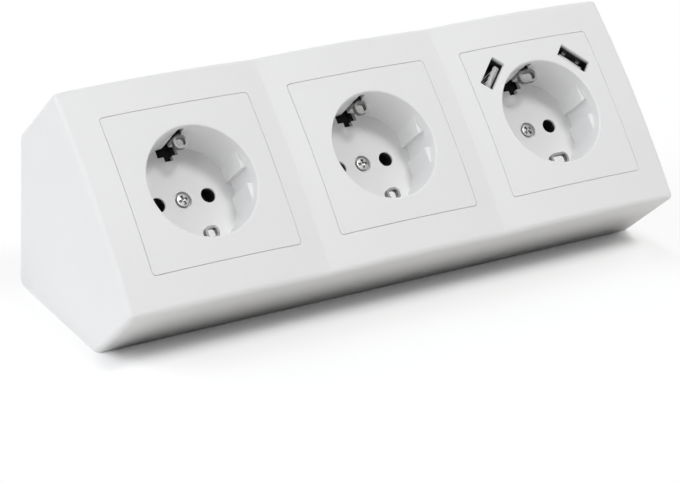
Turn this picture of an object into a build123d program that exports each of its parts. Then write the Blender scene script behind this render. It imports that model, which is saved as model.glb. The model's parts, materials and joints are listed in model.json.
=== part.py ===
"""Corner power socket: three earthed outlets and two USB ports in one long housing for a 90 degree corner."""
import os
from math import sqrt

from build123d import *

# Row of outlets
module_pitch = 71.0
end_margin = 4.0
sides = ("left", "middle", "right")
port_sides = {"left": (), "middle": (), "right": (-1, 1)}

# Housing, a house-shaped section with its 45 degree roof towards the corner
face_height = 80.0
side_depth = 36.0
wall = 2.5
crown_radius = 400.0
edge_radius = 1.9
apex_radius = 3.0
seam_radius = 0.15

# Cover plates, flush with the pillowed front
plate_size = 55.4
plate_corner = 1.2
plate_gap = 0.15
plate_thickness = 3.8
ledge_width = 2.5
ledge_thickness = 2.7
lug_width = 14.0
lug_thickness = 1.5
lug_depth = 3.0
lug_gap = 0.3

# Socket wells
well_radius = 19.6
well_depth = 18.0
well_draft = 1.5
well_floor = 2.0
well_rim_radius = 0.5
cup_wall = 1.7
flat_offset = 17.3
flat_start = 4.2
flat_lead_in = 0.3
key_width = 5.6

# Pins of the plug
pin_spacing = 19.0
pin_hole_radius = 2.65
pin_hole_lip = 0.7
pin_hole_relief = 0.8
pin_passage_gap = 0.15

# Earth straps
strap_thickness = 0.8
strap_width = 5.0
charger_strap_width = 7.2
strap_gap = 0.3
strap_bend = 1.2
neck_width = 2.0
bow_inset = 5.6
bow_length = 4.6
bow_depth = 6.0
bow_height = 2.0
bow_corner = 1.9
slot_depth = 2.6
window_width = 7.8
window_depth = 2.8
stem_width = 3.3
stem_length = 2.6

# Screws
screw_radius = 1.5
screw_gap = 0.15
screw_head_radius = 2.4
screw_head_height = 1.3
head_recess = 1.2
head_gap = 0.65
cross_width = 0.9
cross_length = 3.4
cross_depth = 0.9
cover_screw_length = 13.0
base_screw_length = 25.0

# Socket bases
base_size = 44.0
base_corner = 3.0
base_height = 19.7
base_clearance = 0.3
base_screw_inset = 4.0
chamber_width = 7.0
chamber_length = 9.0
chamber_height = 15.0

# Pin contacts
leaf_thickness = 0.6
leaf_width = 7.0
leaf_flare = 5.8
leaf_grip = 4.6
leaf_top_gap = 0.6
grip_height = 8.5
bridge_height = 2.5
tail_width = 5.0
tail_length = 15.0
tail_gap = 0.3

# Through wiring
wire_radius = 1.3
wire_gap = 0.15
wire_touch = 0.1
feed_wire_across = 12.0
earth_wire_across = 5.5
wire_overhang = 6.0

# Rear plate
rear_wall = 3.0
rear_gap = 0.2
pillar_radius = 3.5
screw_bite = 9.0
mount_hole_radius = 2.25
mount_hole_reach = 46.5

# Terminal block
terminal_length = 9.5
terminal_gap = 1.0
terminal_height = 25.0
terminal_span = 34.0
terminal_screw_radius = 1.7
terminal_screw_length = 4.0
terminal_pillar_across = -4.2

# Cable inlet
inlet_inset = 12.0
inlet_height = 18.0
inlet_hole_radius = 5.0
cable_radius = 3.75
grommet_gap = 0.1
grommet_flange = 1.6
grommet_flange_thickness = 1.5

# USB ports and charger board
port_length = 12.5
port_width = 5.4
port_corner = 0.5
shell_wall = 0.3
shell_gap = 0.2
shell_clearance = 0.3
sleeve_wall = 0.15
sleeve_gap = 0.05
sleeve_drop = 0.25
cup_clearance = 1.0
tongue_length = 9.6
tongue_thickness = 1.9
tongue_inset = 0.7
tongue_drop = 0.3
tongue_foot = 2.4
spring_width = 1.6
spring_offset = 3.0
spring_reach = 0.8
spring_length = 5.0
spring_tip = 0.8
board_half_width = 25.4
board_low = 9.0
board_margin = 0.8
board_thickness = 1.6
board_lift = 1.3
board_pillar_x = 21.5
board_pillar_gap = 3.0
board_pillar_radius = 3.0
board_screw_radius = 1.2
board_screw_length = 9.0
transformer_length = 16.0
transformer_width = 8.4
transformer_height = 10.0
transformer_corner = 1.0
capacitor_radius = 3.0
capacitor_height = 12.0
capacitor_x = 12.5
part_gap = 0.8
feed_pin_radius = 0.4
feed_pin_length = 6.0
feed_pin_touch = 0.05
feed_pins_across = (10.0, 12.2)

# Places along the row, and levels out from the rear corner towards the front
half_height = face_height / 2
half_length = module_pitch * len(sides) / 2 + end_margin
inner_length = half_length - wall
front_level = half_height + side_depth
crown_level = front_level - crown_radius
ledge_level = front_level - plate_thickness
frame_level = ledge_level - ledge_thickness
floor_level = front_level - well_depth
cup_level = floor_level - well_floor
base_top = cup_level - base_clearance
base_level = base_top - base_height
bridge_level = base_level + bridge_height
leaf_level = base_level + chamber_height - leaf_top_gap
feed_wire_level = bridge_level + leaf_thickness / 2 + wire_touch + wire_radius
earth_wire_level = base_top - strap_thickness - wire_touch - wire_radius
board_level = base_top + board_lift
board_top = board_level + board_thickness
shell_level = ledge_level - shell_gap
terminal_top = base_level + terminal_height

opening_size = plate_size + 2 * plate_gap
ledge_opening = plate_size - 2 * ledge_width
cup_radius = well_radius + cup_wall
arm_across = cup_radius - strap_thickness
bow_across = well_radius - bow_inset + bow_length / 2
bow_level = front_level - bow_depth - bow_height
window_inner = well_radius - window_depth
pin_offset = pin_spacing / 2
base_screw_offset = base_size / 2 - base_screw_inset
port_radius = cup_radius + cup_clearance + port_width / 2 + shell_wall
port_offset = port_radius / sqrt(2)
port_front = crown_level + sqrt(crown_radius**2 - port_radius**2)
part_across = base_size / 2 + part_gap + transformer_width / 2
board_high = part_across + transformer_width / 2 + board_margin
board_pillar_across = base_size / 2 + board_pillar_gap + board_pillar_radius
terminal_end = inner_length - terminal_gap
terminal_x = terminal_end - terminal_length / 2
wire_start = -module_pitch - pin_offset - tail_width / 2 - wire_overhang
inlet_x = half_length - inlet_inset
rear_half_length = inner_length - rear_gap
rear_reach = half_height - wall - rear_gap
row_x = {side: (place - 1) * module_pitch for place, side in enumerate(sides)}

# The box is centred on the origin, so the wall plane lies half the depth behind it
edge_across = half_height - edge_radius
edge_level = crown_level + sqrt((crown_radius - edge_radius) ** 2 - edge_across**2)
depth = (edge_across + edge_level) / sqrt(2) + edge_radius
wall_y = depth / 2


def face_point(x, across, level):
    """Point at x along the row, across up the front and level out from the rear corner."""
    return Vector(x, wall_y + (across - level) / sqrt(2), (across + level) / sqrt(2))


def face_plane(level, x=0.0, across=0.0):
    """Plane parallel to the front, its y pointing up the front."""
    return Plane(origin=face_point(x, across, level), x_dir=(1, 0, 0), z_dir=(0, -1, 1))


def section_plane(x=0.0):
    """Cross-section of the row: its x is across the front and its y is the level."""
    return Plane(origin=(x, wall_y, 0), x_dir=(0, 1, 1), z_dir=(1, 0, 0))


def pin_plane(x):
    """Lengthwise section through the pins: its x is along the row and its y is the level."""
    return Plane(origin=face_point(x, 0, 0), x_dir=(1, 0, 0), z_dir=(0, -1, -1))


def port_plane(side, level):
    """Plane over one USB port: its x along the port and its y away from the well."""
    return Plane(
        origin=face_point(row_x["right"] + side * port_offset, port_offset, level),
        x_dir=(1, -side / sqrt(2), -side / sqrt(2)),
        z_dir=(0, -1, 1),
    )


def crowned_block(start, stop, centre, end_side):
    """One stretch of the house section whose front is a shallow pillow around its outlet."""
    with BuildPart() as block:
        with BuildSketch(section_plane(start)) as outline:
            with BuildLine():
                Polyline(
                    (0, 0),
                    (half_height, half_height),
                    (half_height, front_level),
                    (-half_height, front_level),
                    (-half_height, half_height),
                    close=True,
                )
            make_face()
            fillet(outline.vertices().sort_by(Axis.Y)[0], radius=apex_radius)
        extrude(amount=stop - start)
        with Locations(face_point(centre, 0, crown_level)):
            Sphere(crown_radius, mode=Mode.INTERSECT)
        rim = block.faces().filter_by(GeomType.SPHERE).edges().sort_by(Axis.X)
        soft_edges = rim[1:-1]
        if end_side:
            end_face = block.faces().sort_by(Axis.X)[0 if end_side < 0 else -1]
            soft_edges += [rim[0 if end_side < 0 else -1]]
            soft_edges += end_face.edges().filter_by(Axis((0, 0, 0), (0, -1, 1)))
        fillet(soft_edges, radius=edge_radius)
    return block.part


def make_housing():
    """Front frame, side walls and end walls in one moulding, open towards the corner."""
    with BuildPart() as housing:
        for place, x in enumerate(row_x.values()):
            end_side = place - 1
            start = x - module_pitch / 2 - (end_margin if end_side < 0 else 0)
            stop = x + module_pitch / 2 + (end_margin if end_side > 0 else 0)
            add(crowned_block(start, stop, x, end_side))
        with BuildSketch(face_plane(frame_level)):
            Rectangle(2 * inner_length, face_height - 2 * wall)
        extrude(amount=-front_level, mode=Mode.SUBTRACT)
        port_room = 2 * (shell_wall + shell_clearance)
        for side_name, x in row_x.items():
            with BuildSketch(face_plane(ledge_level, x)):
                RectangleRounded(opening_size, opening_size, plate_corner + plate_gap)
            extrude(amount=plate_thickness, mode=Mode.SUBTRACT)
            with BuildSketch(face_plane(ledge_level, x)):
                RectangleRounded(ledge_opening, ledge_opening, plate_corner)
                for side in port_sides[side_name]:
                    with Locations((side * port_offset, port_offset)):
                        Rectangle(port_length + port_room, port_width + port_room, rotation=-45 * side)
            extrude(amount=-2 * ledge_thickness, mode=Mode.SUBTRACT)
        fronts = housing.faces().filter_by(GeomType.SPHERE)
        seams = [wire.edges() for front in fronts for wire in front.inner_wires()]
        fillet([edge for seam in seams for edge in seam], radius=seam_radius)
    return housing.part


def make_cover_plate(side_name, x):
    """Square plate flush with the pillow, in one piece with the cup of its socket well."""
    with BuildPart() as cover:
        with BuildSketch(face_plane(ledge_level, x)):
            RectangleRounded(plate_size, plate_size, plate_corner)
        extrude(amount=plate_thickness)
        with BuildSketch(face_plane(ledge_level, x)):
            with PolarLocations(ledge_opening / 2 - lug_gap - lug_thickness / 2, 4):
                Rectangle(lug_thickness, lug_width)
        extrude(amount=-lug_depth)
        with BuildSketch(face_plane(cup_level, x)):
            Circle(cup_radius)
        extrude(amount=ledge_level - cup_level)
        with Locations(face_point(x, 0, crown_level)):
            Sphere(crown_radius, mode=Mode.INTERSECT)
        fillet(cover.faces().filter_by(GeomType.SPHERE).edges(), radius=seam_radius)
        with BuildSketch(face_plane(front_level, x)):
            Circle(well_radius)
        extrude(amount=-well_depth, taper=well_draft, mode=Mode.SUBTRACT)
        rim = cover.faces().filter_by(GeomType.SPHERE)[0].inner_wires()[0]
        fillet(rim.edges(), radius=well_rim_radius)

        # Flats beside the pins, each with a keyway down its middle and a bevelled top
        flat_level = front_level - flat_start - flat_lead_in
        flat_steps = [(floor_level, flat_level - floor_level, 0), (flat_level, flat_lead_in, 45)]
        for level, rise, slant in flat_steps:
            with BuildSketch(face_plane(level, x)):
                Circle(cup_radius - cup_wall / 2)
                Rectangle(2 * flat_offset, 2 * cup_radius, mode=Mode.SUBTRACT)
                Rectangle(2 * cup_radius, key_width, mode=Mode.SUBTRACT)
            extrude(amount=rise, taper=slant)

        # T-shaped windows below the earth contacts, and the slots for their necks
        with BuildSketch(face_plane(cup_level, x)):
            with PolarLocations((window_inner + cup_radius) / 2, 2, start_angle=90):
                Rectangle(cup_radius - window_inner + cup_wall, window_width)
            with PolarLocations(window_inner - stem_length / 2, 2, start_angle=90):
                Rectangle(stem_length, stem_width)
        extrude(amount=well_floor, mode=Mode.SUBTRACT)
        slot_width = neck_width + 2 * strap_gap
        slot_end = front_level - slot_depth - slot_width / 2
        with BuildSketch(pin_plane(x)):
            with Locations((0, (floor_level + slot_end) / 2)):
                Rectangle(slot_width, slot_end - floor_level)
            with Locations((0, slot_end)):
                Circle(slot_width / 2)
        extrude(amount=cup_radius + strap_gap, both=True, mode=Mode.SUBTRACT)

        # Pin holes, relieved behind a thin lip, and the seat of the central screw
        with BuildSketch(face_plane(floor_level, x)):
            with PolarLocations(pin_offset, 2):
                Circle(pin_hole_radius)
            Circle(screw_radius + screw_gap)
        extrude(amount=-well_floor, mode=Mode.SUBTRACT)
        with BuildSketch(face_plane(cup_level, x)):
            with PolarLocations(pin_offset, 2):
                Circle(pin_hole_radius + pin_hole_relief)
        extrude(amount=well_floor - pin_hole_lip, mode=Mode.SUBTRACT)
        with BuildSketch(face_plane(floor_level, x)):
            Circle(screw_head_radius + head_gap)
        extrude(amount=-head_recess, mode=Mode.SUBTRACT)

        for side in port_sides[side_name]:
            with BuildSketch(port_plane(side, ledge_level)):
                RectangleRounded(port_length, port_width, port_corner)
            extrude(amount=plate_thickness, mode=Mode.SUBTRACT)
    return cover.part


def make_socket_base(x, contact_width):
    """Insulating block behind a well, with chambers for the contacts and channels for the wires."""
    with BuildPart() as base:
        with BuildSketch(face_plane(base_level, x)):
            RectangleRounded(base_size, base_size, base_corner)
        extrude(amount=base_height)
        with BuildSketch(face_plane(base_top, x)):
            Rectangle(contact_width + 2 * strap_gap, 2 * (arm_across + strap_thickness))
        extrude(amount=-strap_thickness, mode=Mode.SUBTRACT)
        with BuildSketch(face_plane(base_level, x)):
            with PolarLocations(pin_offset, 2):
                Rectangle(chamber_width, chamber_length)
        extrude(amount=chamber_height, mode=Mode.SUBTRACT)
        with BuildSketch(face_plane(base_level, x)):
            for side in (-1, 1):
                with Locations((side * pin_offset, side * (tail_length + tail_gap) / 2)):
                    Rectangle(tail_width + 2 * tail_gap, tail_length + tail_gap)
        extrude(amount=bridge_height + leaf_thickness / 2 + tail_gap, mode=Mode.SUBTRACT)
        with BuildSketch(face_plane(base_top, x)):
            with PolarLocations(pin_offset, 2):
                Circle(pin_hole_radius + pin_passage_gap)
            Circle(screw_radius + screw_gap)
        extrude(amount=chamber_height - base_height, mode=Mode.SUBTRACT)
        with BuildSketch(face_plane(base_top, x)):
            Circle(screw_radius + screw_gap)
            with PolarLocations(base_screw_offset * sqrt(2), 2, start_angle=135):
                Circle(screw_radius + screw_gap)
        extrude(amount=-base_height, mode=Mode.SUBTRACT)
        with BuildSketch(face_plane(base_top, x)):
            with PolarLocations(base_screw_offset * sqrt(2), 2, start_angle=135):
                Circle(screw_head_radius + head_gap)
        extrude(amount=-screw_head_height - head_gap, mode=Mode.SUBTRACT)
        with BuildSketch(section_plane(x - base_size / 2)):
            with Locations(*wire_places.values()):
                Circle(wire_radius + wire_gap)
        extrude(amount=base_size, mode=Mode.SUBTRACT)
    return base.part


def make_earth_strap(x, width):
    """Spring strip under the well floor, its two arms ending in the bows that touch the plug."""
    bar_level = base_top - strap_thickness / 2
    arm_top = bow_level + bow_height
    path = [(-arm_across, arm_top), (-arm_across, bar_level), (arm_across, bar_level), (arm_across, arm_top)]
    with BuildPart() as strap:
        with BuildSketch(section_plane(x)):
            with BuildLine():
                FilletPolyline(*path, radius=strap_bend)
            trace(line_width=strap_thickness)
        extrude(amount=neck_width / 2, both=True)
        with BuildSketch(face_plane(base_top, x)):
            Rectangle(width, 2 * (arm_across - strap_bend))
        extrude(amount=-strap_thickness)
        with BuildSketch(face_plane(bow_level, x)):
            with PolarLocations((bow_across + arm_across) / 2, 2, start_angle=90):
                Rectangle(arm_across - bow_across, neck_width)
            with PolarLocations(bow_across, 2, start_angle=90):
                RectangleRounded(bow_length, width, bow_corner)
                RectangleRounded(
                    bow_length - 2 * strap_thickness,
                    width - 2 * strap_thickness,
                    bow_corner - strap_thickness,
                    mode=Mode.SUBTRACT,
                )
        extrude(amount=bow_height)
        with BuildSketch(face_plane(base_top, x)):
            Circle(screw_radius + screw_gap)
        extrude(amount=-strap_thickness, mode=Mode.SUBTRACT)
    return strap.part


def make_pin_contact(x, side):
    """Folded brass clip that grips one pin, with a tail under its feed wire."""
    leaf = [
        (leaf_grip / 2 + leaf_thickness / 2, bridge_level + grip_height),
        (leaf_flare / 2, leaf_level),
    ]
    mirrored_leaf = [(-place, level) for place, level in reversed(leaf)]
    with BuildPart() as contact:
        with BuildSketch(pin_plane(x + side * pin_offset)):
            with BuildLine():
                Polyline(
                    *mirrored_leaf,
                    (-leaf_flare / 2, bridge_level),
                    (leaf_flare / 2, bridge_level),
                    *leaf,
                )
            trace(line_width=leaf_thickness)
        extrude(amount=leaf_width / 2, both=True)
        with BuildSketch(face_plane(bridge_level - leaf_thickness / 2, x + side * pin_offset)):
            with Locations((0, side * tail_length / 2)):
                Rectangle(tail_width, tail_length)
        extrude(amount=leaf_thickness)
    return contact.part


def make_screws(places, seat_level, length):
    """Pan-head screws with a cross recess, standing on one level."""
    with BuildPart() as screws:
        for x, across in places:
            with BuildSketch(face_plane(seat_level, x, across)):
                Circle(screw_head_radius)
            extrude(amount=screw_head_height)
            with BuildSketch(face_plane(seat_level, x, across)):
                Circle(screw_radius)
            extrude(amount=-length)
        for x, across in places:
            with BuildSketch(face_plane(seat_level + screw_head_height, x, across)):
                Rectangle(cross_length, cross_width)
                Rectangle(cross_width, cross_length)
            extrude(amount=-cross_depth, mode=Mode.SUBTRACT)
    return screws.part


def make_wire(across, level):
    """Straight wire through the socket bases into the terminal block."""
    with BuildPart() as wire:
        with BuildSketch(section_plane(wire_start)):
            with Locations((across, level)):
                Circle(wire_radius)
        extrude(amount=terminal_end - wire_start)
    return wire.part


def make_rear_base():
    """V-shaped rear plate that lies against wall and worktop and carries everything on pillars."""
    inner_apex = rear_wall * sqrt(2)
    with BuildPart() as rear:
        with BuildSketch(section_plane()):
            with BuildLine():
                Polyline(
                    (0, 0),
                    (rear_reach, rear_reach),
                    (rear_reach, rear_reach + inner_apex),
                    (0, inner_apex),
                    (-rear_reach, rear_reach + inner_apex),
                    (-rear_reach, rear_reach),
                    close=True,
                )
            make_face()
        extrude(amount=rear_half_length, both=True)
        for x, across, radius, level in pillars:
            with BuildSketch(face_plane(0, x, across)):
                Circle(radius)
            extrude(amount=level)
        with BuildSketch(section_plane()) as envelope:
            with BuildLine():
                Polyline(
                    (0, 0),
                    (rear_reach, rear_reach),
                    (rear_reach, front_level),
                    (-rear_reach, front_level),
                    (-rear_reach, rear_reach),
                    close=True,
                )
            make_face()
            fillet(envelope.vertices().sort_by(Axis.Y)[0], radius=apex_radius)
        extrude(amount=rear_half_length, both=True, mode=Mode.INTERSECT)
        for x, across in base_screw_places + terminal_screw_places:
            with BuildSketch(face_plane(base_level, x, across)):
                Circle(screw_radius + screw_gap)
            extrude(amount=-screw_bite, mode=Mode.SUBTRACT)
        for x, across in board_screw_places:
            with BuildSketch(face_plane(board_level, x, across)):
                Circle(board_screw_radius + screw_gap)
            extrude(amount=-board_screw_length, mode=Mode.SUBTRACT)
        with BuildSketch(Plane.XY):
            with Locations(*[(x, wall_y - mount_hole_reach) for x in mount_hole_x]):
                Circle(mount_hole_radius)
        extrude(amount=rear_wall, mode=Mode.SUBTRACT)
        with BuildSketch(Plane.XZ.offset(-wall_y)):
            with Locations(*[(x, mount_hole_reach) for x in mount_hole_x]):
                Circle(mount_hole_radius)
            with Locations((inlet_x, inlet_height)):
                Circle(inlet_hole_radius)
        extrude(amount=rear_wall, mode=Mode.SUBTRACT)
    return rear.part


def make_cable_grommet():
    """Rubber bush in the cable hole, flush outside and flanged inside."""
    outer = inlet_hole_radius - grommet_gap
    with BuildPart() as grommet:
        with BuildSketch(Plane.XZ.offset(-wall_y)):
            with Locations((inlet_x, inlet_height)):
                Circle(outer)
        extrude(amount=rear_wall + grommet_flange_thickness)
        with BuildSketch(Plane.XZ.offset(rear_wall - wall_y)):
            with Locations((inlet_x, inlet_height)):
                Circle(outer + grommet_flange)
        extrude(amount=grommet_flange_thickness)
        with BuildSketch(Plane.XZ.offset(-wall_y)):
            with Locations((inlet_x, inlet_height)):
                Circle(cable_radius)
        extrude(amount=rear_wall + grommet_flange_thickness, mode=Mode.SUBTRACT)
    return grommet.part


def make_terminal_block():
    """Three-pole block at the end of the row, where the feed meets the through wiring."""
    with BuildPart() as block:
        with BuildSketch(face_plane(base_level, terminal_x)):
            Rectangle(terminal_length, terminal_span)
        extrude(amount=terminal_height)
        with BuildSketch(section_plane(terminal_end - terminal_length)):
            with Locations(*wire_places.values()):
                Circle(wire_radius + wire_gap)
        extrude(amount=terminal_length, mode=Mode.SUBTRACT)
        for across, level in wire_places.values():
            with BuildSketch(face_plane(level, terminal_x, across)):
                Circle(terminal_screw_radius + screw_gap)
            extrude(amount=terminal_top - level, mode=Mode.SUBTRACT)
        with BuildSketch(face_plane(base_level, terminal_x, terminal_pillar_across)):
            Circle(screw_radius + screw_gap)
        extrude(amount=terminal_height, mode=Mode.SUBTRACT)
        with BuildSketch(face_plane(terminal_seat, terminal_x, terminal_pillar_across)):
            Circle(screw_head_radius + head_gap)
        extrude(amount=terminal_top - terminal_seat, mode=Mode.SUBTRACT)
        with BuildSketch(section_plane(terminal_end - terminal_length)):
            with Locations(*feed_pin_places):
                Circle(feed_pin_radius + screw_gap)
        extrude(amount=feed_pin_length / 2, mode=Mode.SUBTRACT)
    return block.part


def make_terminal_screws():
    """Grub screws that press on the three wires."""
    with BuildPart() as screws:
        for across, level in wire_places.values():
            with BuildSketch(face_plane(level + wire_radius + wire_touch, terminal_x, across)):
                Circle(terminal_screw_radius)
                Rectangle(2 * terminal_screw_radius, cross_width / 2, mode=Mode.SUBTRACT)
            extrude(amount=terminal_screw_length)
            with BuildSketch(face_plane(level + wire_radius + wire_touch, terminal_x, across)):
                Circle(terminal_screw_radius)
            extrude(amount=terminal_screw_length - cross_depth)
    return screws.part


def make_usb_shell(side):
    """Sheet-metal shell of one port, with two springs in its outer wall and a sleeve up to the front."""
    floor = port_plane(side, board_top)
    sleeve_size = (port_length - 2 * sleeve_gap, port_width - 2 * sleeve_gap)
    throat_size = [size - 2 * sleeve_wall for size in sleeve_size]
    throat_corner = port_corner - sleeve_gap - sleeve_wall
    spring = [
        (port_width / 2 + shell_wall / 2, shell_level - spring_length),
        (port_width / 2 - spring_reach, shell_level - 2 * spring_tip),
        (port_width / 2 - spring_reach, shell_level - spring_tip),
        (port_width / 2 + shell_wall / 2, shell_level),
    ]
    with BuildPart() as shell:
        with BuildSketch(floor):
            RectangleRounded(
                port_length + 2 * shell_wall, port_width + 2 * shell_wall, port_corner + shell_wall
            )
            RectangleRounded(port_length, port_width, port_corner, mode=Mode.SUBTRACT)
        extrude(amount=shell_level - board_top)
        for place in (-spring_offset, spring_offset):
            spring_centre = port_plane(side, 0).origin + floor.x_dir * place
            with BuildSketch(Plane(origin=spring_centre, x_dir=floor.y_dir, z_dir=floor.x_dir)):
                with BuildLine():
                    Polyline(*spring)
                trace(line_width=shell_wall)
            extrude(amount=spring_width / 2, both=True)
        with BuildSketch(floor):
            RectangleRounded(
                port_length + 2 * shell_wall, port_width + 2 * shell_wall, port_corner + shell_wall
            )
        extrude(amount=shell_level - board_top, mode=Mode.INTERSECT)

        # Shoulder under the plate, and the thin sleeve that lines the plate's port
        with BuildSketch(port_plane(side, shell_level)):
            RectangleRounded(
                port_length + 2 * shell_wall, port_width + 2 * shell_wall, port_corner + shell_wall
            )
            RectangleRounded(*throat_size, throat_corner, mode=Mode.SUBTRACT)
        extrude(amount=-shell_wall)
        with BuildSketch(port_plane(side, shell_level)):
            RectangleRounded(*sleeve_size, port_corner - sleeve_gap)
            RectangleRounded(*throat_size, throat_corner, mode=Mode.SUBTRACT)
        extrude(amount=front_level - shell_level)
        with Locations(face_point(row_x["right"], 0, crown_level)):
            Sphere(crown_radius - sleeve_drop, mode=Mode.INTERSECT)
    return shell.part


def make_usb_tongue(side):
    """Insulating foot and tongue of one port, the tongue towards the well and level with the front."""
    tongue_place = tongue_inset + (tongue_thickness - port_width) / 2
    with BuildPart() as tongue:
        with BuildSketch(port_plane(side, board_top)):
            Rectangle(port_length - 2 * shell_wall, port_width - 2 * shell_wall)
        extrude(amount=tongue_foot)
        with BuildSketch(port_plane(side, board_top)):
            with Locations((0, tongue_place)):
                Rectangle(tongue_length, tongue_thickness)
        extrude(amount=port_front - tongue_drop - board_top)
    return tongue.part


def make_usb_board():
    """Charger board around the cup of the right-hand well."""
    with BuildPart() as board:
        with BuildSketch(face_plane(board_level, row_x["right"])):
            with Locations((0, (board_low + board_high) / 2)):
                Rectangle(2 * board_half_width, board_high - board_low)
            Circle(cup_radius + cup_clearance, mode=Mode.SUBTRACT)
            with Locations((-board_pillar_x, board_pillar_across), (board_pillar_x, board_pillar_across)):
                Circle(board_screw_radius + screw_gap, mode=Mode.SUBTRACT)
        extrude(amount=board_thickness)
    return board.part


def make_usb_transformer():
    """Small transformer under the charger board."""
    with BuildPart() as transformer:
        with BuildSketch(face_plane(board_level, row_x["right"])):
            with Locations((0, part_across)):
                RectangleRounded(transformer_length, transformer_width, transformer_corner)
        extrude(amount=-transformer_height)
    return transformer.part


def make_usb_capacitors():
    """Two round capacitors under the charger board."""
    with BuildPart() as capacitors:
        with BuildSketch(face_plane(board_level, row_x["right"])):
            with Locations((-capacitor_x, part_across), (capacitor_x, part_across)):
                Circle(capacitor_radius)
        extrude(amount=-capacitor_height)
    return capacitors.part


def make_board_screws():
    """Screws that hold the charger board on its two pillars."""
    with BuildPart() as screws:
        for x, across in board_screw_places:
            with BuildSketch(face_plane(board_top, x, across)):
                Circle(2 * board_screw_radius)
            extrude(amount=board_screw_radius)
            with BuildSketch(face_plane(board_top, x, across)):
                Circle(board_screw_radius)
            extrude(amount=-board_screw_length)
    return screws.part


def make_feed_pins():
    """Pins that bring the mains from the terminal block to the charger board."""
    with BuildPart() as pins:
        with BuildSketch(section_plane(terminal_end - terminal_length - feed_pin_length / 2)):
            with Locations(*feed_pin_places):
                Circle(feed_pin_radius)
        extrude(amount=feed_pin_length)
    return pins.part


# Shared places
wire_places = {
    "line": (-feed_wire_across, feed_wire_level),
    "neutral": (feed_wire_across, feed_wire_level),
    "earth": (earth_wire_across, earth_wire_level),
}
cover_screw_places = [(x, 0) for x in row_x.values()]
terminal_screw_places = [(terminal_x, terminal_pillar_across)]
base_screw_places = [
    (x + side * base_screw_offset, -side * base_screw_offset) for x in row_x.values() for side in (-1, 1)
]
mount_hole_x = (-module_pitch / 2, module_pitch / 2)
board_screw_places = [(row_x["right"] + side * board_pillar_x, board_pillar_across) for side in (-1, 1)]
feed_pin_places = [(across, board_top + feed_pin_radius + feed_pin_touch) for across in feed_pins_across]
base_seat = base_top - screw_head_height - head_gap
terminal_seat = base_seat
pillars = [(x, across, pillar_radius, base_level) for x, across in base_screw_places + terminal_screw_places]
pillars += [(x, across, board_pillar_radius, board_level) for x, across in board_screw_places]

pieces = {
    "housing": make_housing(),
    "rear_base": make_rear_base(),
    "cable_grommet": make_cable_grommet(),
    "cover_screws": make_screws(cover_screw_places, floor_level - head_recess, cover_screw_length),
    "base_screws": make_screws(base_screw_places + terminal_screw_places, base_seat, base_screw_length),
    "terminal_block": make_terminal_block(),
    "terminal_screws": make_terminal_screws(),
    "usb_board": make_usb_board(),
    "usb_transformer": make_usb_transformer(),
    "usb_capacitors": make_usb_capacitors(),
    "usb_feed_pins": make_feed_pins(),
    "board_screws": make_board_screws(),
}
for side_name, x in row_x.items():
    width = charger_strap_width if port_sides[side_name] else strap_width
    pieces[f"cover_plate_{side_name}"] = make_cover_plate(side_name, x)
    pieces[f"socket_base_{side_name}"] = make_socket_base(x, width)
    pieces[f"earth_strap_{side_name}"] = make_earth_strap(x, width)
    pieces[f"line_contact_{side_name}"] = make_pin_contact(x, -1)
    pieces[f"neutral_contact_{side_name}"] = make_pin_contact(x, 1)
for wire_name, place in wire_places.items():
    pieces[f"{wire_name}_wire"] = make_wire(*place)
for side_name, side in (("left", -1), ("right", 1)):
    pieces[f"usb_shell_{side_name}"] = make_usb_shell(side)
    pieces[f"usb_tongue_{side_name}"] = make_usb_tongue(side)

os.makedirs("parts", exist_ok=True)
for name, piece in pieces.items():
    piece.label = name
    export_step(piece, f"parts/{name}.step")
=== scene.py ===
"""Finishes, small fittings and studio of a corner power socket: three wells and two USB ports."""

import json
from math import cos, pi, radians, sin, sqrt

import bmesh
import bpy
from mathutils import Matrix, Quaternion, Vector
from mathutils.geometry import delaunay_2d_cdt


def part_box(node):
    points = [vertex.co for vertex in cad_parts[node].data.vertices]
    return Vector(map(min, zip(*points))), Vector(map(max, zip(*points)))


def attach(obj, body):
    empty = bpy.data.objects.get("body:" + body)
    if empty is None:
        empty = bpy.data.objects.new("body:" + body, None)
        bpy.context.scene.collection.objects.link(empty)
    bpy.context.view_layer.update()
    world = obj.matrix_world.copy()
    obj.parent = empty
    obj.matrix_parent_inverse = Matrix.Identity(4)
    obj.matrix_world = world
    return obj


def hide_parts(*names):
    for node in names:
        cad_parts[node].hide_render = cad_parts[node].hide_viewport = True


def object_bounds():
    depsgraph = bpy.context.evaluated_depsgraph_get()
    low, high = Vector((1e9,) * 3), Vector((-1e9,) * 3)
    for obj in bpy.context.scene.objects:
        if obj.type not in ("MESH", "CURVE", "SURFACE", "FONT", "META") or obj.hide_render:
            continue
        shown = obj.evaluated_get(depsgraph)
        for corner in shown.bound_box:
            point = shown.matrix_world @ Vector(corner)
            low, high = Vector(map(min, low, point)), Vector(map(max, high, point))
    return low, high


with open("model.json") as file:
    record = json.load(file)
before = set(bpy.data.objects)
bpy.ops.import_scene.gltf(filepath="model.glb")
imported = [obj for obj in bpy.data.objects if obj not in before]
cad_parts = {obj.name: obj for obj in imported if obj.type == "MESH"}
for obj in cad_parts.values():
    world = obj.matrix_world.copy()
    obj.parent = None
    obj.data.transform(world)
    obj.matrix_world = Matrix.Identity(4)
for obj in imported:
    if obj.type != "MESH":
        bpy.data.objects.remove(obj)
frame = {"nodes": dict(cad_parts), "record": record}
cad_low, cad_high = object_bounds()
nodes = frame["nodes"]
MM = 0.001

# Directions of the part: along the row, up its front and out of its front.
# Levels count outwards from the rear corner.
ALONG = Vector((1, 0, 0))
UPWARD = Vector((0, 1, 1)).normalized()
OUTWARD = Vector((0, -1, 1)).normalized()
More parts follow.
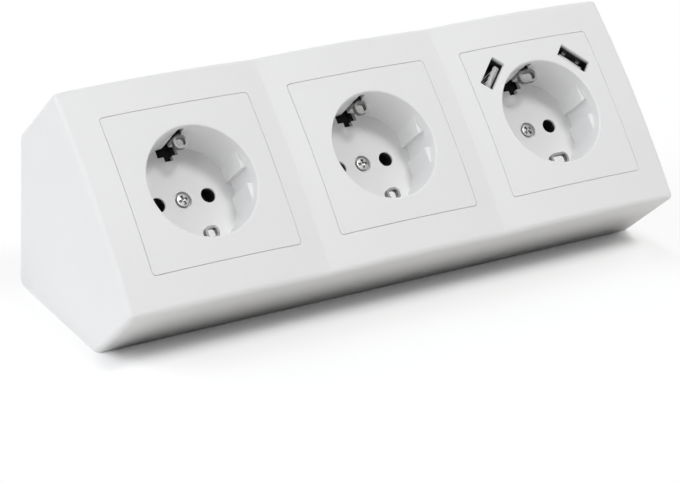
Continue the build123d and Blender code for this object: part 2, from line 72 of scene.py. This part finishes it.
# Share that y and z each have in the last two
SLANT = sqrt(0.5)
REAR_CORNER = Vector((0, cad_high.y, 0))
SIDES = ("left", "middle", "right")


def node_centre(name):
    """Middle of a node's box."""
    low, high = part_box(name)
    return (low + high) / 2


def vertex_level(piece, vertex):
    """How far a vertex of a piece lies out from the rear corner."""
    return OUTWARD.dot(piece.matrix_world @ vertex.co - REAR_CORNER)


def node_level(name):
    """How far a node reaches out from the rear corner."""
    return max(vertex_level(nodes[name], vertex) for vertex in nodes[name].data.vertices)


ROW_X = {side: node_centre(f"cover_plate_{side}").x for side in SIDES}


def face_matrix(x, across, level, turn=0.0):
    """Placement of a piece whose z looks out of the front, turned about it from x along the row."""
    first = ALONG * cos(turn) + UPWARD * sin(turn)
    axes = Matrix((first, OUTWARD.cross(first), OUTWARD)).transposed().to_4x4()
    return Matrix.Translation(REAR_CORNER + ALONG * x + UPWARD * across + OUTWARD * level) @ axes


class Shade:
    """One output of a set of nodes, which takes part in plain arithmetic."""

    def __init__(self, kit, socket):
        self.kit = kit
        self.socket = socket

    def maths(self, operation, *values):
        return self.kit.node("ShaderNodeMath", {"operation": operation}, dict(enumerate(values)))

    def __add__(self, other):
        return self.maths("ADD", self, other)

    def __sub__(self, other):
        return self.maths("SUBTRACT", self, other)

    def __rsub__(self, other):
        return self.maths("SUBTRACT", other, self)

    def __mul__(self, other):
        return self.maths("MULTIPLY", self, other)

    def __abs__(self):
        return self.maths("ABSOLUTE", self)

    def most(self, other):
        return self.maths("MAXIMUM", self, other)

    def swing(self, width):
        """Values around a half, turned into values around nothing."""
        return (self - 0.5) * width

    __radd__ = __add__
    __rmul__ = __mul__


# Sockets of a Mix node that mixes colours
MIX_FACTOR, MIX_FIRST, MIX_SECOND = 0, 6, 7
MIX_RESULT = 2


class NodeKit:
    """The nodes of a finish or of the surroundings, with short ways to add to them."""

    def __init__(self, tree):
        self.tree = tree

    def node(self, kind, settings=None, inputs=None, output=0):
        """Adds a node: its settings first, then values or links by socket name or number."""
        made = self.tree.nodes.new(kind)
        for key, value in (settings or {}).items():
            setattr(made, key, value)
        self.connect(made, inputs or {})
        return Shade(self, made.outputs[output])

    def connect(self, made, inputs):
        for key, value in inputs.items():
            if isinstance(value, Shade):
                self.tree.links.new(value.socket, made.inputs[key])
            else:
                made.inputs[key].default_value = value

    def smooth(self, value, low, high):
        """Zero below low, one above high and a soft rise between them."""
        limits = {"Value": value, "From Min": low, "From Max": high}
        return self.node("ShaderNodeMapRange", {"interpolation_type": "SMOOTHSTEP"}, limits)

    def between(self, factor, first, second):
        """Colour between two others."""
        inputs = {MIX_FACTOR: factor, MIX_FIRST: first, MIX_SECOND: second}
        return self.node("ShaderNodeMix", {"data_type": "RGBA"}, inputs, output=MIX_RESULT)

    def mix_shaders(self, factor, first, second):
        """Shader between two others."""
        return self.node("ShaderNodeMixShader", None, {0: factor, 1: first, 2: second})

    def along_axes(self, place, axes):
        """Coordinates of a place along the named axes."""
        return [
            self.node("ShaderNodeSeparateXYZ", None, {"Vector": place}, output=axis)
            for axis in axes
        ]

    def seen_directly(self):
        """One where a surface is seen by the camera, or in metal or glass."""
        camera, glossy, clear = (
            self.node("ShaderNodeLightPath", output=f"Is {ray} Ray")
            for ray in ("Camera", "Glossy", "Transmission")
        )
        return camera.most(glossy).most(clear)


class Finish(NodeKit):
    """A material under construction, with its shader ready for values and links."""

    def __init__(self, name):
        self.material = bpy.data.materials.new(name)
        self.material.use_nodes = True
        super().__init__(self.material.node_tree)
        self.shader = self.tree.nodes["Principled BSDF"]
        self.place = self.node("ShaderNodeTexCoord", output="Object")

    def noise(self, size, detail=3.0, rough=0.5, where=None):
        """Cloudy values around a half, with lumps about the given size in metres."""
        place = where or self.place
        values = {"Vector": place, "Scale": 1 / size, "Detail": detail, "Roughness": rough}
        return self.node("ShaderNodeTexNoise", {"noise_dimensions": "3D"}, values)

    def streaks(self, density):
        """Noise drawn out into streaks, by its lumps in a metre along each axis."""
        drawn = self.node("ShaderNodeMapping", None, {"Vector": self.place, "Scale": density})
        return self.noise(1.0, where=drawn)

    def waves(self, settings, scale, wander):
        """Soft stripes or rings that wander a little."""
        values = {"Vector": self.place, "Scale": scale, "Distortion": wander}
        return self.node("ShaderNodeTexWave", settings, values, output="Fac")

    def front_place(self):
        """Level, and the distance up or down from the middle of the front."""
        y, z = self.along_axes(self.place, "YZ")
        return (z - y + REAR_CORNER.y) * SLANT, abs(z + y - REAR_CORNER.y) * SLANT

    def bump(self, height, depth, over=None):
        """Normal of a relief, by the depth in metres of a height of one, on top of another."""
        values = {"Height": height, "Distance": depth, "Strength": 1.0}
        return self.node("ShaderNodeBump", None, values | ({"Normal": over} if over else {}))

    def done(self, **inputs):
        """Sets the shader's sockets, named with underscores for spaces."""
        self.connect(self.shader, {key.replace("_", " "): value for key, value in inputs.items()})
        return self.material


def colour(red, green, blue):
    return (red, green, blue, 1.0)


# Moulded plastic: its lumps, their share in the tint, and how far roughness swings with them
CLOUD_SIZE = 30 * MM
FLECK_SIZE = 1.2 * MM
GRAIN_SIZE = 0.25 * MM
RIPPLE_SIZE = 9 * MM
CLOUD_SHARE = 0.8
FLECK_SHARE = 0.2
TINT_RANGE = (0.3, 0.7)
FLECK_ROUGHNESS = 0.12
CLOUD_ROUGHNESS = 0.06
PLASTIC_IOR = 1.5


def moulded_plastic(name, tint, shade, roughness, grain_depth, ripple_depth):
    """Moulded plastic: faint clouding, a spark-eroded grain and a shallow ripple from the tool."""
    finish = Finish(name)
    cloud = finish.noise(CLOUD_SIZE, detail=2.0)
    fleck = finish.noise(FLECK_SIZE, detail=4.0, rough=0.6)
    grain = finish.bump(finish.noise(GRAIN_SIZE, detail=2.0), grain_depth)
    tone = finish.smooth(cloud * CLOUD_SHARE + fleck * FLECK_SHARE, *TINT_RANGE)
    return finish.done(
        Base_Color=finish.between(tone, shade, tint),
        Roughness=roughness + fleck.swing(FLECK_ROUGHNESS) + cloud.swing(CLOUD_ROUGHNESS),
        Normal=finish.bump(finish.noise(RIPPLE_SIZE, detail=1.0), ripple_depth, over=grain),
        IOR=PLASTIC_IOR,
    )


# Rolled and drawn metal: streaks in a metre along each axis, depth of their relief, dull patches
BRASS_STREAKS = (4000, 400, 400)
STRAP_STREAKS = (6000, 300, 300)
SLEEVE_STREAKS = (500, 3000, 3000)
BRASS_RELIEF = 0.002 * MM
STRAP_RELIEF = 0.003 * MM
SLEEVE_RELIEF = 0.002 * MM
DULL_SIZE = 4 * MM
STREAK_SHARE = 0.6
DULL_SHARE = 0.4
STREAK_ROUGHNESS = 0.18
DULL_ROUGHNESS = 0.1
BRASS_ROUGHNESS = 0.3
BEYOND_BOW_ROUGHNESS = 0.5
BOW_POLISH = 0.16
SLEEVE_ROUGHNESS = 0.38
# Bounds of the bows, where the straps keep the steel's own tint; below and beyond them painted
# shade darkens the straps: levels, and places up or down the front
PAINTED_SHADE_BELOW = 57.6 * MM
BRIGHT_ABOVE = 59.5 * MM
PAINTED_SHADE_BEYOND = 19.2 * MM
BRIGHT_WITHIN = 18.4 * MM
# Levels between which the sleeves of the ports turn from steel darkened as painted shade to the
# plate's white
DARK_BELOW = 72.9 * MM
PALE_ABOVE = 74.7 * MM


def rolled_brass(name, tint, shade):
    """Rolled spring brass with fine streaks and a few dull patches."""
    finish = Finish(name)
    lines = finish.streaks(BRASS_STREAKS)
    dull = finish.noise(DULL_SIZE)
    return finish.done(
        Base_Color=finish.between(lines * STREAK_SHARE + dull * DULL_SHARE, shade, tint),
        Roughness=BRASS_ROUGHNESS + lines.swing(STREAK_ROUGHNESS) + dull.swing(DULL_ROUGHNESS),
        Normal=finish.bump(lines, BRASS_RELIEF),
        Metallic=1.0,
    )


def sprung_steel(name, tint, shade, painted_shade_tint):
    """Spring steel with drawn streaks: its own tint on the bows in the wells, and painted shade,
    nearly black, on the rest of each strap below the floors and behind the walls.
    """
    finish = Finish(name)
    level, across = finish.front_place()
    # Where a strap keeps its own tint, on the bows; everywhere else its base colour is painted
    # shade
    raised = finish.smooth(level, PAINTED_SHADE_BELOW, BRIGHT_ABOVE)
    bow = raised * finish.smooth(across, PAINTED_SHADE_BEYOND, BRIGHT_WITHIN)
    lines = finish.streaks(STRAP_STREAKS)
    dull = finish.noise(DULL_SIZE)
    steel = finish.between(lines * STREAK_SHARE + dull * DULL_SHARE, shade, tint)
    return finish.done(
        Base_Color=finish.between(bow, painted_shade_tint, steel),
        Roughness=BEYOND_BOW_ROUGHNESS - bow * BOW_POLISH + lines.swing(STREAK_ROUGHNESS),
        Normal=finish.bump(lines, STRAP_RELIEF),
        Metallic=1.0,
    )


def port_sleeve(name, tint, shade, mouth_tint):
    """Steel darkened as painted shade deep in each port, and white like the plate around its mouth.
    """
    finish = Finish(name)
    level, _ = finish.front_place()
    mouth = finish.smooth(level, DARK_BELOW, PALE_ABOVE)
    lines = finish.streaks(SLEEVE_STREAKS)
    return finish.done(
        Base_Color=finish.between(mouth, finish.between(lines, shade, tint), mouth_tint),
        Roughness=SLEEVE_ROUGHNESS + lines.swing(STREAK_ROUGHNESS),
        Normal=finish.bump(lines, SLEEVE_RELIEF),
        Metallic=1 - mouth,
    )


# Turned screws: rings from the tool, and dull patches
TURNED_RINGS = {"wave_type": "RINGS", "rings_direction": "Z"}
RING_SCALE = 900.0
RING_WANDER = 1.5
RING_RELIEF = 0.004 * MM
RING_ROUGHNESS = 0.06
PATCH_SIZE = 1.5 * MM
PATCH_ROUGHNESS = 0.12
SCREW_ROUGHNESS = 0.3


def turned_steel(name, tint, shade):
    """Plated screw steel with the rings that turning leaves around its axis."""
    finish = Finish(name)
    rings = finish.waves(TURNED_RINGS, RING_SCALE, RING_WANDER)
    dull = finish.noise(PATCH_SIZE)
    return finish.done(
        Base_Color=finish.between(dull, shade, tint),
        Roughness=SCREW_ROUGHNESS + rings * RING_ROUGHNESS + dull.swing(PATCH_ROUGHNESS),
        Normal=finish.bump(rings, RING_RELIEF),
        Metallic=1.0,
    )


# Rubber: a bloom on its surface, and a fine grain
BLOOM_SIZE = 3 * MM
BLOOM_RANGE = (0.4, 0.8)
BLOOM_ROUGHNESS = 0.2
RUBBER_ROUGHNESS = 0.75
RUBBER_GRAIN_SIZE = 0.3 * MM
RUBBER_GRAIN_DEPTH = 0.01 * MM


def rubber(name, tint, bloom_tint):
    """Dull black rubber with a dusty bloom."""
    finish = Finish(name)
    bloom = finish.noise(BLOOM_SIZE, detail=5.0, rough=0.65)
    return finish.done(
        Base_Color=finish.between(finish.smooth(bloom, *BLOOM_RANGE), tint, bloom_tint),
        Roughness=RUBBER_ROUGHNESS + bloom.swing(BLOOM_ROUGHNESS),
        Normal=finish.bump(finish.noise(RUBBER_GRAIN_SIZE), RUBBER_GRAIN_DEPTH),
    )


# Circuit board: weave that shows through the lacquer, and clouds in it
GLASS_WEAVE = {"wave_type": "BANDS", "bands_direction": "DIAGONAL"}
WEAVE_SCALE = 400.0
WEAVE_WANDER = 0.4
WEAVE_SHARE = 0.3
WEAVE_RELIEF = 0.01 * MM
WEAVE_ROUGHNESS = 0.1
LACQUER_SIZE = 6 * MM
LACQUER_SHARE = 0.5
BOARD_ROUGHNESS = 0.35


def circuit_board(name, tint, shade):
    """Green lacquer over glass weave."""
    finish = Finish(name)
    weave = finish.waves(GLASS_WEAVE, WEAVE_SCALE, WEAVE_WANDER)
    tone = finish.noise(LACQUER_SIZE) * LACQUER_SHARE + weave * WEAVE_SHARE
    return finish.done(
        Base_Color=finish.between(tone, shade, tint),
        Roughness=BOARD_ROUGHNESS + weave * WEAVE_ROUGHNESS,
        Normal=finish.bump(weave, WEAVE_RELIEF),
    )


# Metals, rubber and board: how each is made, and its tints
OTHER_MATERIALS = {
    # The strap's last tint is painted shade, for the strap below the wells' floors and behind their
    # walls
    "strap_steel": (sprung_steel, (0.24, 0.238, 0.234), (0.13, 0.129, 0.126), (0.022, 0.021, 0.02)),
    # The port steel's first two tints are darkened as painted shade inside the ports; the last is
    # the plate's white at their mouths
    "port_steel": (port_sleeve, (0.1, 0.1, 0.103), (0.06, 0.06, 0.062), (0.87, 0.87, 0.872)),
    "contact_brass": (rolled_brass, (0.78, 0.62, 0.34), (0.62, 0.47, 0.22)),
    "screw_steel": (turned_steel, (0.36, 0.36, 0.357), (0.25, 0.25, 0.247)),
    "grommet_rubber": (rubber, (0.02, 0.02, 0.021), (0.055, 0.055, 0.056)),
    "board_green": (circuit_board, (0.03, 0.22, 0.09), (0.012, 0.11, 0.045)),
}
# Plastics: two tints, roughness, and the depths of grain and ripple in millimetres
PLASTICS = {
    "housing_white": ((0.9, 0.9, 0.901), (0.885, 0.885, 0.887), 0.5, 0.004, 0.006),
    "cover_white": ((0.905, 0.905, 0.906), (0.892, 0.892, 0.894), 0.58, 0.002, 0.005),
    "rear_white": ((0.79, 0.793, 0.796), (0.76, 0.764, 0.77), 0.5, 0.008, 0.008),
    "tongue_white": ((0.86, 0.86, 0.858), (0.84, 0.84, 0.838), 0.4, 0.002, 0.002),
    "terminal_plastic": ((0.8, 0.8, 0.76), (0.76, 0.755, 0.7), 0.45, 0.004, 0.004),
    "base_black": ((0.018, 0.018, 0.019), (0.01, 0.01, 0.011), 0.55, 0.008, 0.008),
    "capacitor_sleeve": ((0.04, 0.04, 0.06), (0.025, 0.025, 0.04), 0.3, 0.002, 0.006),
    "transformer_tape": ((0.75, 0.58, 0.09), (0.62, 0.46, 0.06), 0.35, 0.004, 0.02),
    "wire_brown": ((0.2, 0.08, 0.03), (0.15, 0.055, 0.02), 0.45, 0.004, 0.004),
    "wire_blue": ((0.05, 0.12, 0.45), (0.035, 0.09, 0.36), 0.45, 0.004, 0.004),
    "wire_green": ((0.25, 0.5, 0.08), (0.19, 0.4, 0.05), 0.45, 0.004, 0.004),
}
FINISHES = {}
for slot_name, (make_finish, *tints) in OTHER_MATERIALS.items():
    FINISHES[slot_name] = make_finish(slot_name, *(colour(*tint) for tint in tints))
for slot_name, (tint, shade, roughness, grain, ripple) in PLASTICS.items():
    FINISHES[slot_name] = moulded_plastic(
        slot_name, colour(*tint), colour(*shade), roughness, grain * MM, ripple * MM
    )
for subpart in frame["record"]["subparts"]:
    nodes[subpart["node"]].material_slots[0].material = FINISHES[subpart["material_slot"]]

# Steepest fold that is still shaded as a curve
SMOOTH_ANGLE = radians(35)


def add_piece(name, form, slot, placement):
    """Puts a modelled form on the part, smooth up to an angle, with the finish of a slot."""
    bmesh.ops.recalc_face_normals(form, faces=form.faces)
    mesh = bpy.data.meshes.new(name)
    form.to_mesh(mesh)
    form.free()
    for face in mesh.polygons:
        face.use_smooth = True
    mesh.set_sharp_from_angle(angle=SMOOTH_ANGLE)
    mesh.materials.append(FINISHES[slot])
    piece = bpy.data.objects.new(name, mesh)
    bpy.context.scene.collection.objects.link(piece)
    piece.matrix_world = placement
    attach(piece, "root")
    return piece


def ring_points(radius, count):
    """Points evenly around a circle."""
    angles = [2 * pi * k / count for k in range(count)]
    return [Vector((cos(angle), sin(angle))) * radius for angle in angles]


def join_rings(form, first, second):
    """Faces between two rings of equally many vertices."""
    for k in range(len(first)):
        form.faces.new((first[k - 1], first[k], second[k], second[k - 1]))


def join_point(form, ring, point):
    """Faces from a ring to a point."""
    for k in range(len(ring)):
        form.faces.new((ring[k - 1], ring[k], point))


# Cover screws: pan heads with a cross recess, each stopped at its own angle in degrees
SCREW_SEGMENTS = 48
HEAD_HEIGHT = 1.3 * MM
HEAD_DOME = 0.12 * MM
HEAD_ROLL = 0.35 * MM
HEAD_ROLL_STEP = 15
HEAD_FOOT = 0.1 * MM
CROSS_LENGTH = 3.5 * MM
CROSS_WIDTH = 1.0 * MM
CROSS_DEPTH = 0.85 * MM
CROSS_TAPER = 0.74
CROSS_POINT = 0.25 * MM
SHANK_RADIUS = 1.5 * MM
SHANK_LENGTH = 13.0 * MM
THREAD_PITCH = 0.5 * MM
THREAD_DEPTH = 0.28 * MM
# Share of the pitch from the end of a crest to the next root
THREAD_FLANK = 0.6
SCREW_TURNS = {"left": 13, "middle": -4, "right": 33}
# Triangulation of the cap: only inside its outline, and points this close are one
INSIDE_ONLY = 1
POINT_TOLERANCE = 1e-9


def cross_corners(length, width):
    """Corners of a plus sign, anticlockwise."""
    corners = []
    for quarter in range(4):
        turn = Matrix.Rotation(quarter * pi / 2, 2)
        corners += [turn @ Vector((length, side * width)) / 2 for side in (-1, 1)]
        corners.append(turn @ Vector((width, width)) / 2)
    return corners


def in_cross(point):
    small, large = sorted((abs(point.x), abs(point.y)))
    return small < CROSS_WIDTH / 2 and large < CROSS_LENGTH / 2


def closed_edges(count, start=0):
    """Edges around a closed outline of numbered points."""
    return [(start + k, start + (k + 1) % count) for k in range(count)]


def make_screw_form(head_radius):
    """Whole screw on its seat: domed and recessed cap, rolled edge, foot, thread and tip."""
    form = bmesh.new()
    cap_radius = head_radius - HEAD_ROLL
    dome = HEAD_DOME / cap_radius**2
    corners = cross_corners(CROSS_LENGTH, CROSS_WIDTH)
    outline = ring_points(cap_radius, SCREW_SEGMENTS)
    edges = closed_edges(SCREW_SEGMENTS) + closed_edges(len(corners), SCREW_SEGMENTS)
    flat, _, triangles, *_ = delaunay_2d_cdt(
        outline + corners, edges, [], INSIDE_ONLY, POINT_TOLERANCE
    )
    top = [form.verts.new((*point, HEAD_HEIGHT - dome * point.length_squared)) for point in flat]
    for triangle in triangles:
        if not in_cross(sum((flat[k] for k in triangle), Vector((0, 0))) / 3):
            form.faces.new([top[k] for k in triangle])

    # Recess narrowing downwards to a blunt point
    mouth = top[SCREW_SEGMENTS:SCREW_SEGMENTS + len(corners)]
    low = HEAD_HEIGHT - CROSS_DEPTH
    bottom = [form.verts.new((*corner * CROSS_TAPER, low)) for corner in corners]
    join_rings(form, mouth, bottom)
    join_point(form, bottom, form.verts.new((0, 0, low - CROSS_POINT)))

    # Rolled edge, foot, thread and tip, turned around the axis
    cap_edge = HEAD_HEIGHT - HEAD_DOME
    roll = [radians(t) for t in range(HEAD_ROLL_STEP, 91, HEAD_ROLL_STEP)]
    profile = [
        (cap_radius + HEAD_ROLL * sin(t), cap_edge - HEAD_ROLL * (1 - cos(t))) for t in roll
    ]
    profile += [(head_radius, HEAD_FOOT), (head_radius - HEAD_FOOT, 0), (SHANK_RADIUS, 0)]
    for k in range(1, int(SHANK_LENGTH / THREAD_PITCH)):
        profile += [
            (SHANK_RADIUS, -(k - THREAD_FLANK) * THREAD_PITCH),
            (SHANK_RADIUS - THREAD_DEPTH, -k * THREAD_PITCH),
        ]
    ring = top[:SCREW_SEGMENTS]
    for radius, height in profile:
        points = ring_points(radius, SCREW_SEGMENTS)
        following = [form.verts.new((*point, height)) for point in points]
        join_rings(form, ring, following)
        ring = following
    join_point(form, ring, form.verts.new((0, 0, -SHANK_LENGTH)))
    return form


screw_low, screw_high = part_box("cover_screws")
HEAD_RADIUS = (screw_high.x - screw_low.x - ROW_X["right"] + ROW_X["left"]) / 2
HEAD_SEAT = node_level("cover_screws") - HEAD_HEIGHT
for side in SIDES:
    screw = add_piece(
        f"cover_screw_{side}", make_screw_form(HEAD_RADIUS), "screw_steel",
        face_matrix(ROW_X[side], 0, HEAD_SEAT, radians(SCREW_TURNS[side])),
    )
    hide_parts("cover_screws")

# Inside the USB ports, which lie across the upper corners of a plate: tongues set back in them,
# four contacts on the face of each tongue, and a nub on each spring of the shells, white as a
# painted highlight
PORT_TURNS = {"left": pi / 4, "right": -pi / 4}
TONGUE_SETBACK = 1.9 * MM
TONGUE_END_ZONE = 1.0 * MM
MERGE_DISTANCE = 0.001 * MM
CONTACT_PLACES = (-3.5 * MM, -1.0 * MM, 1.0 * MM, 3.5 * MM)
CONTACT_WIDTH = 1.0 * MM
NUB_PLACES = (-3.0 * MM, 3.0 * MM)
NUB_WIDTH = 1.1 * MM
LEAF_CHAMFER = 0.06 * MM
TONGUE_FACE = -0.1 * MM
SHELL_FACE = 2.55 * MM
# Distances down from the end of the tongue, for nubs from where it ends before it is set back,
# and how far a contact or nub stands off its face there, in millimetres
CONTACT_SHAPE = [
    (0.8, 0.07), (1.1, 0.13), (1.6, 0.2), (2.4, 0.28), (3.4, 0.22), (4.6, 0.14), (9.0, 0.12),
]
NUB_SHAPE = [
    (3.4, 0.08), (3.42, 0.7), (3.6, 0.76), (4.2, 0.76), (4.7, 0.6), (5.1, 0.36), (5.4, 0.1),
]


def make_leaf_form(places, width, face, shape, side):
    """Contacts or nubs that swell off a face towards one side, chamfered along their edges."""
    form = bmesh.new()
    half = width / 2
    crown = half - LEAF_CHAMFER
    for place in places:
        rings = []
        for down, stand in shape:
            high = stand * MM
            low = high - LEAF_CHAMFER
            section = [
                (half, 0), (half, low), (crown, high), (-crown, high), (-half, low), (-half, 0),
            ]
            rings.append([
                form.verts.new((place + x, face + side * y, -down * MM)) for x, y in section
            ])
        form.faces.new(rings[0])
        for first, second in zip(rings, rings[1:]):
            join_rings(form, first, second)
        form.faces.new(rings[-1])
    return form


def make_tongue_form(name):
    """The tongue of a port with its end set back."""
    solid = nodes[name]
    end_zone = node_level(name) - TONGUE_END_ZONE
    form = bmesh.new()
    form.from_mesh(solid.data)
    bmesh.ops.remove_doubles(form, verts=form.verts, dist=MERGE_DISTANCE)
    for vertex in form.verts:
        if vertex_level(solid, vertex) > end_zone:
            vertex.co -= OUTWARD * TONGUE_SETBACK
    return form


for side, port_turn in PORT_TURNS.items():
    tongue_name = f"usb_tongue_{side}"
    tongue = add_piece(
        f"port_tongue_{side}", make_tongue_form(tongue_name), "tongue_white",
        nodes[tongue_name].matrix_world.copy(),
    )
    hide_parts(tongue_name)
    port_x = node_centre(f"usb_shell_{side}").x
    port_across = abs(port_x - ROW_X["right"])
    port_place = face_matrix(port_x, port_across, node_level(tongue_name), port_turn)
    contacts = make_leaf_form(CONTACT_PLACES, CONTACT_WIDTH, TONGUE_FACE, CONTACT_SHAPE, 1)
    set_back = Matrix.Translation(-OUTWARD * TONGUE_SETBACK)
    # The contacts take the port steel, dark there as painted shade
    add_piece(f"port_contacts_{side}", contacts, "port_steel", set_back @ port_place)
    nubs = make_leaf_form(NUB_PLACES, NUB_WIDTH, SHELL_FACE, NUB_SHAPE, -1)
    # The nubs take the tongue's white as a painted highlight, where the steel springs glint
    add_piece(f"port_highlight_nubs_{side}", nubs, "tongue_white", port_place)

# Camera at the photograph's angle, its place counted from the middle of the row on the wall plane
IMAGE_WIDTH = 680
FOCAL_PIXELS = 2486.4
SENSOR_WIDTH = 36.0
CLIP_START = 0.01
CLIP_END = 50.0
CAMERA_FROM_WALL = Vector((-0.44545, -0.69199, 0.38738))
VIEW_AZIMUTH = radians(33.94)
VIEW_ELEVATION = radians(25.53)
VIEW_ROLL = radians(3.74)


def make_camera():
    """Long lens from the left and a little above, rolled slightly."""
    lens = bpy.data.cameras.new("camera")
    lens.sensor_width = SENSOR_WIDTH
    lens.lens = FOCAL_PIXELS / IMAGE_WIDTH * SENSOR_WIDTH
    lens.clip_start = CLIP_START
    lens.clip_end = CLIP_END
    camera = bpy.data.objects.new("camera", lens)
    bpy.context.scene.collection.objects.link(camera)
    camera.location = REAR_CORNER + CAMERA_FROM_WALL
    flat = cos(VIEW_ELEVATION)
    sight = Vector((sin(VIEW_AZIMUTH) * flat, cos(VIEW_AZIMUTH) * flat, -sin(VIEW_ELEVATION)))
    camera.rotation_mode = "QUATERNION"
    camera.rotation_quaternion = sight.to_track_quat("-Z", "Y") @ Quaternion((0, 0, 1), VIEW_ROLL)
    bpy.context.scene.camera = camera


# Studio: even lamps far away, by azimuth from the front towards the right, height and width
# in degrees, level, and warmth, which trades blue for red
LAMPS = {
    "key": (22, 64, 14, 0.3, 0.006),
    "right": (65, 45, 70, 0.187, 0.005),
    "right_rear": (120, 20, 60, 0.09, 0.0),
    "left": (285, 38, 60, 0.34, -0.008),
    "left_rear": (236, 36, 60, 0.325, -0.05),
}
WHITE = (1, 1, 1)
WORLD_LEVEL = 0.03
FLOOR_RADIUS = 4.0
FLOOR_SEGMENTS = 96
FLOOR_DROP = 0.05 * MM
FLOOR_SEEN = (1.16, 1.16, 1.16)
# What the floor throws back on the part, close to its foot and further out
FLOOR_NEAR = (0.04, 0.039, 0.037)
FLOOR_FAR = (0.97, 0.955, 0.935)
FLOOR_RISE_START = 4 * MM
FLOOR_RISE_END = 45 * MM
END_INSET = 10 * MM
END_STEEPNESS = 5
FOOT_DEPTH = 56.57 * MM
# Beside and behind the part, the floor that is seen fades to white and keeps only a trace
# of shadow; in front it fades less
FADE_INSET = 8 * MM
FADE_WIDTH = 16 * MM
FADE_SHARE = 0.82
FRONT_FADE_START = 5 * MM
FRONT_FADE_END = 12 * MM
FRONT_FADE_SHARE = 0.4


def add_lamp(name, azimuth, height, width, level, warmth):
    """Distant soft lamp of which a level of one lights a facing surface at its own colour."""
    lamp = bpy.data.lights.new(name, "SUN")
    lamp.angle = radians(width)
    lamp.energy = pi * level
    lamp.color = (1 + warmth, 1, 1 - warmth)
    holder = bpy.data.objects.new(name, lamp)
    bpy.context.scene.collection.objects.link(holder)
    around, up = radians(azimuth), radians(height)
    towards = Vector((sin(around) * cos(up), -cos(around) * cos(up), sin(up)))
    holder.location = towards
    holder.rotation_mode = "QUATERNION"
    holder.rotation_quaternion = (-towards).to_track_quat("-Z", "Y")


def make_world():
    """White surroundings, which light the part more softly than they look."""
    world = bpy.data.worlds.new("studio")
    world.use_nodes = True
    bpy.context.scene.world = world
    kit = NodeKit(world.node_tree)
    strength = WORLD_LEVEL + kit.seen_directly() * (1 - WORLD_LEVEL)
    background = kit.tree.nodes["Background"]
    kit.connect(background, {"Color": colour(*WHITE), "Strength": strength})


def floor_finish():
    """Floor that looks white around the part's shadow, and throws back less light near its foot."""
    finish = Finish("floor")
    finish.tree.nodes.remove(finish.shader)
    x, y = finish.along_axes(finish.node("ShaderNodeNewGeometry", output="Position"), "XY")
    beside = abs(x) - cad_high.x
    in_front = cad_high.y - FOOT_DEPTH - y
    near, far, shaded = (
        finish.node("ShaderNodeBsdfDiffuse", None, {"Color": colour(*tint)})
        for tint in (FLOOR_NEAR, FLOOR_FAR, FLOOR_SEEN)
    )
    white = finish.node("ShaderNodeEmission", None, {"Color": colour(*WHITE)})
    distance = ((beside + END_INSET) * END_STEEPNESS).most(in_front)
    rise = finish.smooth(distance, FLOOR_RISE_START, FLOOR_RISE_END)
    fade = finish.smooth((beside + FADE_INSET).most(0 - in_front), 0.0, FADE_WIDTH) * FADE_SHARE
    front_fade = finish.smooth(in_front, FRONT_FADE_START, FRONT_FADE_END) * FRONT_FADE_SHARE
    unseen = finish.mix_shaders(rise, near, far)
    seen = finish.mix_shaders(fade.most(front_fade), shaded, white)
    surface = finish.mix_shaders(finish.seen_directly(), unseen, seen)
    finish.connect(finish.tree.nodes["Material Output"], {"Surface": surface})
    return finish.material


def make_floor():
    """Pale worktop that keeps the part's shadow."""
    form = bmesh.new()
    bmesh.ops.create_circle(form, cap_ends=True, segments=FLOOR_SEGMENTS, radius=FLOOR_RADIUS)
    mesh = bpy.data.meshes.new("floor")
    form.to_mesh(mesh)
    form.free()
    mesh.materials.append(floor_finish())
    floor = bpy.data.objects.new("floor", mesh)
    floor.location = (0, 0, -FLOOR_DROP)
    bpy.context.scene.collection.objects.link(floor)


make_world()
make_floor()
for lamp_name, lamp_values in LAMPS.items():
    add_lamp(lamp_name, *lamp_values)
make_camera()
bpy.context.scene.view_settings.view_transform = "Standard"
